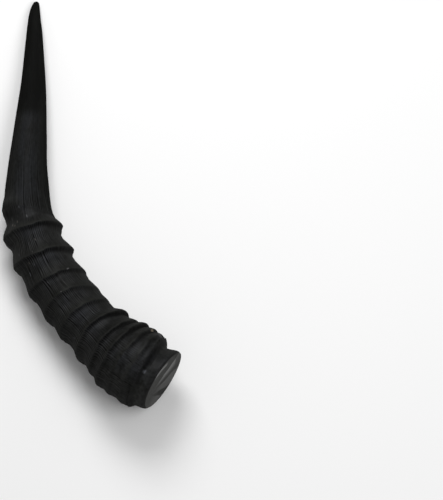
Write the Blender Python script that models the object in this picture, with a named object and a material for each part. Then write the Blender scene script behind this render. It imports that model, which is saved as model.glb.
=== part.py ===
"""A ringed antelope horn, cut off flat at its base and lying on its side.

The horn is one grown piece. Its tip is a smooth tapering cone, the rings below it stand out like
stacked cups, and a plain collar under the last ring ends in the flat cut. It rests on the floor
z = 0 along its underside, with its tip towards +Y and its cut base towards +X.
"""

import math

import bmesh
import bpy
from mathutils import Vector

MM = 0.001  # metres in a millimetre

# The middle of the horn from its tip to its cut base, in mm. z is about the radius there, which
# keeps the underside on the floor.
CENTRELINE = (
    (28.4, 353.6, 2.7),
    (27.2, 342.0, 4.7),
    (26.4, 314.1, 8.7),
    (25.7, 275.2, 11.7),
    (23.4, 236.5, 14.9),
    (21.3, 197.5, 18.4),
    (22.8, 160.0, 22.7),
    (34.4, 121.9, 25.7),
    (53.8, 89.5, 25.8),
    (77.8, 60.4, 27.4),
    (102.3, 36.6, 31.9),
    (123.1, 20.6, 34.9),
    (135.2, 12.5, 36.3),
)

# Radius of the horn between its rings: (distance from the tip, radius), in mm.
SHANK = (
    (0.0, 0.0), (0.8, 1.5), (3.0, 2.7), (8.0, 4.0), (20.0, 5.7), (40.0, 7.6), (60.0, 9.2),
    (90.0, 11.8), (120.0, 14.2), (150.0, 16.5), (180.0, 19.3), (198.0, 20.0), (219.0, 21.4),
    (245.0, 22.7), (268.0, 23.4), (290.0, 23.8), (309.0, 24.4), (328.0, 26.8), (339.0, 28.8),
    (350.0, 31.3), (362.0, 32.0),
)

# The rings from the tip end to the base end, in mm. Each crest has its distance from the tip, and
# then its radius, on the inner side of the bend, the top, the outer side and the underside. The
# last two numbers are how far the flare up to the crest and the drop behind it reach.
RINGS = (
    ((203.0, 194.0, 188.5, 194.0), (20.7, 20.4, 22.1, 20.2), 11.0, 8.0),
    ((212.5, 211.5, 210.5, 212.0), (25.9, 25.4, 25.9, 24.2), 9.0, 6.5),
    ((240.0, 235.5, 234.0, 237.0), (26.3, 25.6, 25.9, 25.6), 12.0, 5.0),
    ((266.0, 256.5, 257.0, 261.0), (25.2, 25.5, 25.6, 25.5), 11.0, 6.0),
    ((288.0, 275.0, 279.0, 283.0), (25.0, 25.6, 25.8, 25.6), 10.0, 6.0),
    ((302.0, 294.5, 297.5, 300.0), (24.9, 26.4, 26.4, 26.0), 10.0, 6.5),
    ((322.5, 314.5, 319.5, 321.0), (29.9, 28.0, 28.6, 28.2), 9.0, 5.0),
    ((336.5, 332.5, 335.0, 336.0), (29.8, 31.0, 30.3, 29.9), 8.0, 4.5),
    ((345.0, 343.0, 345.0, 345.5), (33.3, 32.8, 33.6, 32.2), 7.0, 4.5),
    ((356.5, 353.5, 355.5, 356.0), (33.5, 33.5, 33.7, 32.9), 7.0, 4.5),
    ((364.0, 364.5, 367.0, 367.0), (33.2, 33.2, 33.7, 33.9), 7.0, 6.0),
)

# How hollow the flare up to a crest and the drop behind it are, on the same four sides.
FLARE_POWER = (0.9, 1.7, 1.1, 1.4)
DROP_POWER = (1.0, 1.5, 1.0, 1.3)

# The groove below the last ring starts this far from the cut on the same four sides, in mm. From
# there the collar has these radii in mm at each share of the way to the cut.
GROOVE_STARTS = (18.5, 14.5, 12.5, 13.5)
COLLAR = (
    (0.0, (32.7, 32.7, 32.9, 32.8)),
    (0.06, (31.6, 31.8, 31.8, 31.8)),
    (0.2, (27.2, 27.6, 29.6, 28.0)),
    (0.36, (25.8, 26.4, 28.4, 27.0)),
    (0.62, (26.9, 27.2, 28.1, 27.4)),
    (0.86, (28.5, 27.9, 27.3, 27.9)),
    (0.96, (28.7, 27.7, 26.5, 27.6)),
    (1.0, (28.2, 27.0, 25.6, 27.0)),
)

SIDES_AROUND = 56  # facets around the horn
TIP_ROWS = 16  # rows of facets from the tip to the first ring
TIP_CROWDING = 2.0  # how closely those rows crowd towards the tip
ROWS_BETWEEN_CRESTS = (0.14, 0.32, 0.55, 0.78, 0.92, 1.0)  # shares of the gap between two crests
SMOOTH_ANGLE = math.radians(50)  # edges sharper than this stay sharp
STEPS_PER_SPAN = 24  # steps along the centreline between two of its points

HORN_COLOUR = (0.018, 0.018, 0.019, 1.0)


def smooth_value(table, at):
    """Reads a table of (position, value) pairs as one smooth curve."""
    if at <= table[0][0]:
        return table[0][1]
    if at >= table[-1][0]:
        return table[-1][1]
    k = max(i for i, row in enumerate(table) if row[0] <= at)
    (x0, y0), (x1, y1) = table[k], table[k + 1]
    before = table[max(k - 1, 0)]
    after = table[min(k + 2, len(table) - 1)]
    width = x1 - x0
    slope_0 = (y1 - before[1]) / (x1 - before[0]) * width
    slope_1 = (after[1] - y0) / (after[0] - x0) * width
    t = (at - x0) / width
    bend = (2 * t - 3) * t * t
    return (
        (bend + 1) * y0 + ((t - 2) * t + 1) * t * slope_0 - bend * y1 + (t - 1) * t * t * slope_1
    )


def trace_centreline():
    """Gives (distance from the tip, place) along the smooth curve through CENTRELINE, in metres."""
    knots = [Vector(p) * MM for p in CENTRELINE]
    ends = [2 * knots[0] - knots[1]] + knots + [2 * knots[-1] - knots[-2]]
    places = [knots[0]]
    for a, b, c, d in zip(ends, ends[1:], ends[2:], ends[3:]):
        for step in range(1, STEPS_PER_SPAN + 1):
            t = step / STEPS_PER_SPAN
            straight = 2 * b + (c - a) * t
            bent = (2 * a - 5 * b + 4 * c - d) * t * t + (3 * b - a - 3 * c + d) * t ** 3
            places.append((straight + bent) / 2)
    travelled = [0.0]
    for a, b in zip(places, places[1:]):
        travelled.append(travelled[-1] + (b - a).length)
    return list(zip(travelled, places))


def frame_at(trace, distance):
    """The middle of the horn at a distance from its tip, and its inner and top directions."""
    k = 0
    while k < len(trace) - 2 and trace[k + 1][0] < distance:
        k += 1
    (d0, a), (d1, b) = trace[k], trace[k + 1]
    growth = (trace[min(k + 2, len(trace) - 1)][1] - trace[max(k - 1, 0)][1]).normalized()
    inner = Vector((0, 0, 1)).cross(growth).normalized()
    return a.lerp(b, (distance - d0) / (d1 - d0)), inner, growth.cross(inner)


def around(sides, angle):
    """Blends values given on the inner side, top, outer side and underside around the horn."""
    inner, top, outer, under = sides
    return (
        (inner + top + outer + under) / 4
        + (inner - outer) / 2 * math.cos(angle)
        + (top - under) / 2 * math.sin(angle)
        + (inner - top + outer - under) / 4 * math.cos(2 * angle)
    )


def ring_rise(distance, angle):
    """How far the rings stand out of the shank, in mm, at one place."""
    rise = 0.0
    for crests, radii, flare, drop in RINGS:
        past = distance - around(crests, angle)
        reach = drop if past > 0 else flare
        power = around(DROP_POWER if past > 0 else FLARE_POWER, angle)
        if abs(past) < reach:
            height = around(radii, angle) - smooth_value(SHANK, distance - past)
            rise = max(rise, height * (1 - abs(past) / reach) ** power)
    return rise


def horn_rows(length):
    """Each row of facets, tip first, as its distance from the tip on the four sides, in mm."""
    tip_shares = [(n / TIP_ROWS) ** TIP_CROWDING for n in range(1, TIP_ROWS + 1)]
    cut = (length,) * 4
    groove = tuple(length - start for start in GROOVE_STARTS)
    stretches = [((0.0,) * 4, RINGS[0][0], tip_shares)]
    for above, below in zip(RINGS, RINGS[1:]):
        stretches.append((above[0], below[0], ROWS_BETWEEN_CRESTS))
    stretches.append((RINGS[-1][0], groove, (0.5,)))
    stretches.append((groove, cut, [share for share, _ in COLLAR]))
    return [
        tuple(a + (b - a) * share for a, b in zip(above, below))
        for above, below, shares in stretches
        for share in shares
    ]


def radius_at(distance, angle, length):
    """Radius of the horn, in mm, at a distance from the tip."""
    collar_length = around(GROOVE_STARTS, angle)
    share = 1 - (length - distance) / collar_length
    if share >= 0:
        return smooth_value([(at, around(radii, angle)) for at, radii in COLLAR], share)
    return smooth_value(SHANK, distance) + ring_rise(distance, angle)


def place_row(verts, trace, row, length):
    """Puts one loop of vertices where its row runs on the horn."""
    for n, vert in enumerate(verts):
        angle = 2 * math.pi * n / SIDES_AROUND
        distance = around(row, angle)
        middle, inner, top = frame_at(trace, distance * MM)
        radius = radius_at(distance, angle, length) * MM
        vert.co = middle + (inner * math.cos(angle) + top * math.sin(angle)) * radius


def make_horn_mesh():
    """Extrudes the horn row by row from its cut base to its tip and closes it there."""
    trace = trace_centreline()
    length = trace[-1][0] / MM
    bm = bmesh.new()
    rows = horn_rows(length)[::-1]
    verts = bmesh.ops.create_circle(bm, cap_ends=True, radius=1.0, segments=SIDES_AROUND)["verts"]
    place_row(verts, trace, rows[0], length)
    edges = list(bm.edges)
    for row in rows[1:]:
        grown = bmesh.ops.extrude_edge_only(bm, edges=edges)["geom"]
        verts = [v for v in grown if isinstance(v, bmesh.types.BMVert)]
        edges = [e for e in grown if isinstance(e, bmesh.types.BMEdge) and len(e.link_faces) == 1]
        place_row(verts, trace, row, length)
    grown = bmesh.ops.extrude_edge_only(bm, edges=edges)["geom"]
    tip = [v for v in grown if isinstance(v, bmesh.types.BMVert)]
    bmesh.ops.pointmerge(bm, verts=tip, merge_co=trace[0][1])
    bmesh.ops.recalc_face_normals(bm, faces=bm.faces)
    rest_on_floor(bm)
    mesh = bpy.data.meshes.new("horn")
    bm.to_mesh(mesh)
    bm.free()
    mesh.shade_smooth()
    mesh.set_sharp_from_angle(angle=SMOOTH_ANGLE)
    return mesh


def rest_on_floor(bm):
    """Centres the horn over the origin and lets it down on z = 0."""
    low = Vector(min(v.co[axis] for v in bm.verts) for axis in range(3))
    high = Vector(max(v.co[axis] for v in bm.verts) for axis in range(3))
    middle = (low + high) / 2
    bmesh.ops.translate(bm, verts=bm.verts, vec=(-middle.x, -middle.y, -low.z))


def horn_material():
    """Near-black keratin with a soft satin finish."""
    material = bpy.data.materials.new("Black horn")
    material.use_nodes = True
    shader = material.node_tree.nodes["Principled BSDF"]
    shader.inputs["Base Color"].default_value = HORN_COLOUR
    shader.inputs["Roughness"].default_value = 0.5
    shader.inputs["Metallic"].default_value = 0.0
    return material


def main():
    for old in list(bpy.data.objects):
        bpy.data.objects.remove(old, do_unlink=True)
    collection = bpy.data.collections.new("Antelope horn")
    bpy.context.scene.collection.children.link(collection)
    horn = bpy.data.objects.new("horn", make_horn_mesh())
    horn.data.materials.append(horn_material())
    collection.objects.link(horn)


main()
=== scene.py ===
"""A ringed black antelope horn lying on its side, with the flat cut at its base.

The horn is one skin, grown row by row from the middle of its cut face, over the rim, along the
collar and the rings and out to the tip. Its rows follow the crests of the rings, so that each
crest is a clean line. Places along the horn are distances from its tip, in mm. Places around it
are angles: 0 is the inner side of the bend, 90 degrees the top, 180 the outer side and 270 the
underside.
"""

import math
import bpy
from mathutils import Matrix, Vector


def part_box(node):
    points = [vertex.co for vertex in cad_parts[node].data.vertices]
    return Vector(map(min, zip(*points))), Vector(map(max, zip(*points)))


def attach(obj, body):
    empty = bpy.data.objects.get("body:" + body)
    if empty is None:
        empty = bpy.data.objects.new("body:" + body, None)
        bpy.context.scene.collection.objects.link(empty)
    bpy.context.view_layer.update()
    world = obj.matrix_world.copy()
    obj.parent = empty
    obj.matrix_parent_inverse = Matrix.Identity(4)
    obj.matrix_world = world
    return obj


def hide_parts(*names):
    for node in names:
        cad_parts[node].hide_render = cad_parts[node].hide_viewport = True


bl_info = {
    "name": "Ringed antelope horn",
    "version": (1, 0, 0),
    "blender": (4, 5, 0),
    "location": "3D View > Sidebar > Horn",
    "description": "Grows a ringed black antelope horn and sets it on a plain studio floor",
    "category": "Add Mesh",
}

from collections import namedtuple
from types import SimpleNamespace

import bmesh
import bpy
import numpy as np
from bpy.props import FloatProperty, FloatVectorProperty, IntProperty, PointerProperty
from mathutils import Vector, noise

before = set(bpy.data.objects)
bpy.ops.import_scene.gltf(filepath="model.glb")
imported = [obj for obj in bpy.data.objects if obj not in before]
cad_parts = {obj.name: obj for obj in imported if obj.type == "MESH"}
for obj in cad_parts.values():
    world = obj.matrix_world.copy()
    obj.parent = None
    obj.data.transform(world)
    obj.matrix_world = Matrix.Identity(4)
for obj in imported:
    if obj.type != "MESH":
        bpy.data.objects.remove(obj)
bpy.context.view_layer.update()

MM = 0.001  # metres in a millimetre
TOUCH = 0.001  # mm, a place this close past a crest still counts as on it

# The middle of the horn from its tip to its cut base, in mm.
CENTRELINE = (
    (-47.0, 181.5, 2.7),
    (-48.2, 169.9, 4.7),
    (-49.0, 142.0, 8.7),
    (-49.7, 103.1, 11.7),
    (-52.0, 64.4, 14.9),
    (-54.1, 25.4, 18.4),
    (-52.6, -12.1, 22.7),
    (-41.0, -50.2, 25.7),
    (-21.6, -82.6, 25.8),
    (2.4, -111.7, 27.4),
    (26.9, -135.5, 31.9),
    (47.7, -151.5, 34.9),
    (59.8, -159.6, 36.3),
)

# Radius of the horn between its rings: (distance from the tip, radius), in mm.
SHANK = (
    (0.0, 0.0), (0.8, 1.5), (3.0, 2.7), (8.0, 4.0), (20.0, 5.7), (40.0, 7.6), (60.0, 9.2),
    (90.0, 11.8), (120.0, 14.2), (150.0, 16.5), (180.0, 19.3), (198.0, 20.0), (219.0, 21.4),
    (245.0, 22.7), (268.0, 23.4), (290.0, 23.8), (309.0, 24.4), (328.0, 26.8), (339.0, 28.8),
    (350.0, 31.3), (362.0, 32.0),
)

# The rings from the tip end to the base end, in mm. Four numbers together are for the inner side of
# the bend, the top, the outer side and the underside: the crest's distance from the tip, its
# radius, and the depth of the groove behind it. The other numbers are how far the flare up to the
# crest and the fall behind it reach, and how round the crest is across its edge.
Ring = namedtuple("Ring", "crest radius groove flare fall edge")
RINGS = (
    Ring((203.0, 194.0, 188.5, 194.0), (20.7, 20.4, 22.1, 20.2), (0.1, 0.15, 0.3, 0.2), 11.0, 8.0, 1.2),
    Ring((212.5, 211.5, 210.5, 212.0), (26.1, 25.4, 25.9, 24.2), (0.9, 0.7, 0.4, 0.6), 9.0, 6.5, 1.2),
    Ring((240.0, 235.5, 234.0, 237.0), (26.9, 25.6, 25.9, 25.6), (0.8, 0.8, 0.4, 0.6), 12.0, 5.0, 0.5),
    Ring((266.0, 256.5, 257.0, 261.0), (25.4, 25.5, 25.6, 25.5), (0.7, 0.7, 0.4, 0.6), 11.0, 6.0, 0.6),
    Ring((288.0, 275.0, 279.0, 283.0), (25.0, 25.6, 25.8, 25.6), (0.3, 0.4, 0.3, 0.4), 10.0, 6.0, 0.9),
    Ring((302.0, 294.5, 297.5, 300.0), (24.9, 26.4, 26.4, 26.0), (0.5, 0.6, 0.4, 0.5), 10.0, 6.5, 0.8),
    Ring((322.5, 314.5, 319.5, 321.0), (29.9, 28.0, 28.6, 28.2), (1.8, 0.9, 0.4, 0.6), 8.0, 5.0, 0.8),
    Ring((336.5, 332.5, 335.0, 336.0), (29.8, 31.0, 30.3, 29.9), (2.0, 1.0, 0.5, 0.6), 8.0, 4.5, 0.8),
    Ring((345.0, 343.0, 345.0, 345.5), (33.3, 32.8, 33.6, 32.2), (2.1, 1.1, 0.6, 0.6), 7.0, 4.5, 0.8),
    Ring((356.5, 353.5, 355.5, 356.0), (33.5, 33.5, 33.7, 32.9), (2.0, 1.2, 0.6, 0.7), 7.0, 4.5, 0.8),
    Ring((364.0, 364.5, 367.0, 367.0), (33.2, 33.2, 33.7, 33.9), (1.5, 0.8, 0.5, 0.5), 7.0, 6.0, 0.8),
)

# How hollow the flare and the fall are on the same four sides, how far they reach there, and how
# round the crests are.
FLARE_POWER = (0.9, 1.5, 0.95, 1.3)
FALL_POWER = (1.0, 1.7, 0.7, 1.1)
FLARE_REACH = (1.1, 1.0, 0.85, 1.0)
FALL_REACH = (1.05, 0.7, 1.2, 1.0)
CREST_ROUND = (1.3, 0.5, 1.4, 0.8)
GROOVE_PLACE = (2.5, 2.0, 1.7, 1.9)  # mm from a crest to the middle of the groove behind it
GROOVE_WIDTH = (2.0, 1.4, 1.1, 1.25)  # mm, how wide that groove is
RUBBED_AND_LIT_LINE = (-0.5, 0.8)  # mm from a crest to the middle of its rubbed line with a painted highlight, and how wide it is
HIGHLIGHT_BAND = (5.0, 2.0)  # the same for the band of painted highlight behind its groove
FULL_RING = 2.5  # mm, the marks behind a ring that stands out less are weaker
FULL_FLARE = 2.0  # mm, so are those on the flare of a ring that stands out less than this
DEEP_SHADE_FROM = 7  # from this ring on the grooves get broad painted shade on the upper inner side

# A crest wavers around the horn: (waves in one turn, height of the waver in mm).
CREST_WAVER = ((3, 0.45), (5, 0.3), (8, 0.22), (13, 0.16), (21, 0.12), (47, 0.1))
WAVER_TURN = 2.4  # radians by which the waver turns from one ring to the next

# The part of the base end where the last rings fade into rough flat horn: (distance, run) in mm,
# and (amount, angle, spread) with both angles in degrees.
CALM_START = (347.0, 7.0)
CALM_SIDE = (1.0, 117, 27)
CALM_RING_LOSS = 0.6  # share of a ring's height that is lost there
CALM_STRIPE_LOSS = 0.85  # share of the lengthwise grooves that is lost there

# The inner side is slightly fuller between the middle rings: the distances in mm over which this
# starts and those over which it ends, and (mm, angle, spread) with both angles in degrees.
SWELL_STARTS = (215, 225)
SWELL_ENDS = (300, 310)
SWELL_SIDE = (0.5, 0, 50)

# A mark is strongest at one place along the horn and at one angle in degrees, and fades over a run
# and a spread.
Mark = namedtuple("Mark", "amount place run angle spread")
# Marks at the crests, with the place and the run in mm past a crest.
NOTCH = Mark(0.85, 7.0, 2.8, 185, 40)  # a dip on the outer side, its amount in mm
WIDE_SHADE = Mark(0.12, 3.0, 4.5, 165, 45)  # the wider shade around each groove
DEEP_GROOVE_SHADE = Mark(0.6, 2.6, 2.2, 68, 34)  # broad painted shade in the grooves of the last rings
FIRST_LIT_RISE = Mark(2.2, -5.5, 5.0, 148, 38)  # painted light on the rise to the first, faint ring
FIRST_SHADE = Mark(1.3, 5.0, 4.5, 155, 25)  # painted shade behind it
# Marks with the place and the run in mm from the tip.
LIT_LIP = Mark(0.6, 206, 4, 25, 22)  # painted light on the inner side, ahead of the second ring
LIT_FLARES = Mark(1.2, 225, 35, 155, 35)  # painted light on the outer side of the first full rings
# The next mark is a painted sheen around the painted glint on the collar.
COLLAR_SHEEN = Mark(1.0, 378.5, 3.5, 107, 9)
CHIP = Mark(0.7, 364.5, 3.2, 19, 11)  # chalky horn on the inner side of the last ring
# Marks on the collar, with the place and the run as shares of the way from its groove to the cut.
LAST_RING_SHADE = Mark(1.0, -0.1, 0.28, 130, 20)  # painted shade, from the last ring into the groove
AGED = Mark(1.0, 0.4, 0.35, 150, 38)  # worn and brownish, on the outer side
COLLAR_GROOVE = (0.16, 0.13)  # the middle of the painted shade in the groove and its spread, as the same shares
AGED_WEAR = 1.4  # how worn the aged part is
CHIP_CHALK = (0.7, 2.2, 1.2)  # mean, swing and most of the chalk from bump to bump of the chip
CHIP_WARMTH = 0.5

# How a finish changes around the horn: (amount, angle, spread), with both angles in degrees.
SHEEN_SIDE = (1.0, 92, 38)  # where the bands of painted highlight show
CREST_FADE = (0.5, 155, 38)  # where the rubbed crests and their painted highlight fade, and how much of them
ROUGH_COLLAR = (1.0, 105, 45)  # where the collar is rough

# The groove below the last ring starts this far from the cut on the same four sides, in mm. From
# there the collar has these radii in mm at each share of the way to the cut.
GROOVE_STARTS = (19.1, 14.5, 12.9, 13.5)
COLLAR = (
    (0.0, (32.7, 32.7, 32.9, 32.8)),
    (0.06, (31.6, 31.8, 31.8, 31.8)),
    (0.2, (27.2, 27.6, 29.6, 28.0)),
    (0.36, (25.8, 26.4, 28.4, 27.0)),
    (0.62, (26.9, 27.2, 28.1, 27.4)),
    (0.86, (28.5, 27.9, 27.3, 27.9)),
    (0.96, (28.7, 27.7, 26.5, 27.6)),
    (1.0, (28.2, 27.0, 25.6, 27.0)),
)

# Drying cracks that run along the horn: (distance, angle) at both ends, in mm and degrees.
CRACKS = (
    ((238, 90), (253, 86)), ((242, 68), (258, 60)), ((221, 82), (232, 72)),
    ((185, 90), (199, 104)), ((281, 72), (291, 72)), ((275, 100), (294, 94)),
    ((278, 124), (292, 122)), ((298, 122), (314, 118)), ((298, 100), (316, 102)),
    ((254, 114), (266, 114)), ((264, 66), (269, 66)), ((358, 100), (365, 104)),
    ((353, 132), (366, 136)), ((216, 96), (230, 94)), ((224, 232), (238, 226)),
    ((262, 250), (277, 256)), ((300, 222), (313, 228)), ((326, 262), (334, 266)),
)
CRACK_SWAY = (0.25, 5)  # degrees by which a crack sways, and how many radians of a wave it runs
CRACK_WIDTH = 0.24  # mm
CRACK_END = 0.4  # mm over which a crack runs out

# Pale flecks of dried bone dust, and one painted glint: (distance, angle, length, width, warmth), in
# mm and degrees.
FLECKS = (
    (202, 96, 0.4, 0.9, 0.2), (259, 62, 0.4, 0.9, 0.2), (224, 94, 0.3, 0.3, 0.5),
    (228, 126, 0.3, 0.3, 1.0), (233, 108, 0.3, 0.3, 0.3), (309, 144, 0.4, 0.4, 0.0),
    (274, 100, 0.3, 0.4, 0.3), (239, 128, 0.35, 0.35, 1.0), (356, 28, 1.0, 1.3, 1.0),
    # The first fleck on the next line, at 375.8 mm, is a painted glint on the collar.
    (375.8, 103.5, 0.6, 1.2, 0.0), (214, 262, 0.5, 0.4, 0.4), (289, 240, 0.4, 0.4, 0.6),
    (197, 134, 0.5, 0.3, 0.3), (205, 122, 0.45, 0.3, 0.8), (208, 127, 0.45, 0.3, 0.9),
    (193, 112, 0.5, 0.3, 0.1), (200, 138, 0.45, 0.25, 0.4), (230, 140, 0.45, 0.3, 0.2),
    (242, 118, 0.5, 0.25, 0.0), (246, 138, 0.9, 0.25, 0.0), (260, 112, 0.5, 0.3, 0.1),
    (202, 118, 0.4, 0.25, 0.6), (206, 134, 0.45, 0.3, 0.7), (194, 144, 0.5, 0.3, 0.2),
)
FLECK_EDGE = 1.7  # a fleck has faded away at this many times its length and width

# The tip leans to the outer side: a share of its radius, and the place and the spread in mm.
TIP_LEAN = (0.14, 10.0, 14.0)
GRAIN_RADIUS = 25.0  # mm, the even radius on which patterns wrap the horn
SECTION_SHIFT = 37.0  # mm by which patterns are shifted from one ring to the next

# The lengthwise grooves between the crests. Where they differ around the horn, it is by
# (amount, angle, spread), with both angles in degrees.
LAMELLAE = (80, 3)  # grooves around the horn at its tip, and how many each ring adds
LAMELLA_SWAY = 7.0  # radians by which they wander sideways
LAMELLA_WAVES = (0.85, 0.6)  # how much of their depth is regular, and how much is uneven
LAMELLA_BIAS = ((-0.15, 168, 42), (-0.25, 95, 35))  # where they are narrower
LAMELLA_STRENGTH = 0.7
LAMELLA_SIDES = ((0.25, 115, 50), (-0.6, 12, 48))  # where they are stronger or weaker
SMOOTH_INNER = (0.85, 50, 50)  # where they are weaker near the base, and by what share
SMOOTH_INNER_FROM = 7  # crests passed, from where on they are so
FIRST_LAMELLAE = (0.3, 0.8)  # share of their strength behind the first and the second crest
LAMELLA_FADE = (0.5, 0.4, 0.95)  # where they fade, over how much of a ring's way, and by how much
LAMELLA_REACH = (0.3, 140, 50)  # where they reach further, as a share of a ring's way
LAMELLA_PATCHES = (0.8, 0.15, 1.2)  # mean, least and most of their strength from patch to patch
LAMELLA_CUT = 0.2  # how far up its side a groove is cut
TIP_STRIPES = 0.12  # their strength on the tip
SHANK_STRIPES = ((0.08, 100, 125), (0.2, 155, 190))  # (more strength, from, to), in mm
COLLAR_STRIPES = 0.12  # share of their strength on the collar

# Random bumps: their sizes across and along the horn in mm, and a seed that sets them apart.
Bumps = namedtuple("Bumps", "across along seed")
SWAY_BUMPS = Bumps(4.5, 40.0, 5.1)
UNEVEN_BUMPS = Bumps(1.5, 26.0, 3.7)
PATCH_BUMPS = Bumps(5.0, 9.0, 41.7)
LUMPS = Bumps(9.0, 14.0, 11.3)
ROUGH_BUMPS = Bumps(2.6, 3.4, 17.9)
LONG_RIDGES = Bumps(5.0, 120.0, 23.9)
CHIP_BUMPS = Bumps(1.7, 1.6, 51.3)
UNEVEN_FROM = (186, 14)  # mm from the tip where the horn grows uneven, and over how many
COLLAR_EVEN = 0.3  # share of that unevenness on the collar
SHANK_LUMPS = 0.25  # share of the lumps on the shank
ROUGHNESS = (0.12, 0.9)  # share of the rough bumps everywhere, and what the calm patch adds
ROUGH_HEIGHT = 0.3  # mm
RIDGE_HEIGHT = 0.12  # mm
FULL_RELIEF = 6.0  # mm, the relief is weaker where the horn's radius is less

TOP_DENSITY = 0.3  # how much closer the facets stand on the top than on the sides
TIP_ROW_PITCH = 4.4  # mm between rows on the smooth tip
TIP_CROWDING = 1.25  # how closely the first rows crowd towards the tip
RING_ROW_PITCH = 1.02  # mm between rows among the rings
RING_CROWDING = 0.6  # how closely rows crowd towards the crests, from 0 to 1
LEAST_ROWS = 3  # between two crests
COLLAR_ROWS = 15
FACE_ROWS = 16
STEPS_PER_SPAN = 24  # steps along the centreline between two of its points

# The marks of sanding fan over the cut face from one place near its rim, in mm along the inner and
# the top direction. At each of these angles in degrees they have a grey and a height in mm. Their
# palest greys, on the raised marks, are partly painted reflections.
FAN_START = (-20.0, 9.0)
FAN = (
    (-90.0, 0.75, 0.0), (-66.0, 0.8, 0.1), (-62.0, 0.05, -0.1), (-54.0, 0.05, -0.15),
    (-50.0, 0.8, 0.05), (-32.0, 0.85, 0.15), (-28.0, 0.1, 0.0), (-21.0, 0.2, 0.05),
    (-16.0, 0.6, 0.1), (-12.0, 1.2, 0.2), (-7.0, 1.6, 0.25), (-1.5, 1.9, 0.3),
    (1.0, 0.25, 0.0), (12.0, 0.2, 0.0), (40.0, 0.35, 0.0), (90.0, 0.45, 0.0),
)
FAN_RISE = 20.0  # mm from FAN_START over which the marks gain their height
FAN_PALES = (8.0 * MM, 27.0 * MM)  # m from FAN_START over which they gain their greys
FAN_WAVER = math.radians(8)  # how much they waver sideways
RIM_FADE = 5  # the marks lose their height again over the last fifth of the radius
FACE_GREY = 0.35  # the grey at FAN_START
# The fan's palest marks end in shade: metres from FAN_START, angles, and how much darker it is.
RIM_SHADE = (39.0 * MM, 42.0 * MM)
RIM_SHADE_FROM = (math.radians(-20), math.radians(-14))
RIM_SHADE_LOSS = 0.7
# The painted highlight on the bevel along the rim: (angle in degrees, distance from the middle in
# mm) at both ends.
RIM_HIGHLIGHT = ((58, 22.3), (107, 26.2))
STREAK_WIDTH = (1.0 * MM, 2.8 * MM)  # m from its middle line over which it fades
STREAK_ENDS = (0.05, 0.2)  # radians outside and inside its ends over which it fades
BEVEL_HIGHLIGHT_GREY = 1.6
SCRATCH_GREY = 0.55  # how much the fine scratches vary the grey
SCRATCH_BUMP = (0.1 * MM, 0.5)  # depth and strength
PALEST_GREY = 2.0  # the grey at which the cut has its palest colour

# Random patterns of the finishes: features in a metre, how they are squeezed along the three axes,
# the number of finer layers and how strong those are.
Pattern = namedtuple("Pattern", "scale squeeze detail roughness")
CLOUDS = Pattern(45.0, (1.0, 1.0, 0.7), 3.0, 0.55)
FIBRES = Pattern(1000.0, (1.0, 1.0, 0.03), 3.0, 0.55)
MOTTLE = Pattern(420.0, (1.0, 1.0, 0.6), 4.0, 0.65)
BLOTCHES = Pattern(230.0, (1.0, 1.0, 1.5), 3.0, 0.6)
SCRATCHES = Pattern(500.0, (0.5, 1.4, 1.0), 3.0, 0.6)
SANDED_PATCHES = Pattern(70.0, (1.0, 1.0, 1.0), 2.0, 0.5)
# The span of a pattern, from 0 to 1, over which it comes to show in full.
PALE_CLOUDS = (0.35, 0.7)
BLUE_CLOUDS = (0.4, 0.6)
OLIVE_CLOUDS = (0.45, 0.7)
OLIVE_MOTTLE = (0.35, 0.6)
DUST_MOTTLE = (0.7, 0.8)
BLOTCH_EDGES = (0.35, 0.65)

# Where the finish of the black horn changes, in metres from the tip.
TIP_POLISH = (100.0 * MM, 112.0 * MM)  # the polish gives way to drier horn, and the painted reflection on the shank starts
SHANK_ENDS = (165.0 * MM, 200.0 * MM)  # the smooth shank gives way to the rings
INNER_SHADE_FROM = (250.0 * MM, 280.0 * MM)  # from here on the upper inner side gets painted shade
BLOTCHED_FROM = (330.0 * MM, 352.0 * MM)
COLLAR_FROM = (370.0 * MM, 378.0 * MM)

# Directions around the horn, each as its inner and its top part, and the spans in metres over which
# the horn comes to face them. The upper side is painted lighter and the lower side darker, and the
# upper inner side near the base gets painted shade.
WRAP = GRAIN_RADIUS * MM  # m
UPPER_WAY = (0.7, 0.7)
UPPER_SPAN = (-0.6 * WRAP, 0.75 * WRAP)
INNER_SHADE_WAY = (0.64, 0.77)
INNER_SHADE_SPAN = (0.75 * WRAP, WRAP)
TOP_SPAN = (0.7 * WRAP, 0.98 * WRAP)
RIDGE_WAY = (-0.259, 0.966)  # the line of the shank's painted highlight

# How much each part adds to the share of grey in the black horn.
GREY = SimpleNamespace(
    base=0.13, clouds=0.14, mottle=0.6, calm_mottle=0.5, crest=0.19, calm=0.07,
    striped=0.1, streaks=0.75, wear=0.25, flare=-0.06, polished_flank=0.07,
    shank=0.45, shank_flank=-1.7, inner_shade=-0.3,
    rings_blotch=0.22, collar_blotch=-0.12, aged_blotch=0.5,
)
TIP_GREY = 0.2  # share of that grey which is left on the tip
LOWER_GREY = 0.88  # share left on the lower side, as painted shade
SMOOTH_GREY = 0.85  # share left ahead of the rings
# The lengthwise lines: how strong grooves and fibres are in them, the span from a ridge to a
# groove's floor, and the span over which painted shade darkens the floors. Their ridges carry a
# painted highlight.
LINES = SimpleNamespace(grooves=0.75, fibres=2.8, span=(-0.9, 0.9), shaded=(0.3, 1.1))
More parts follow.
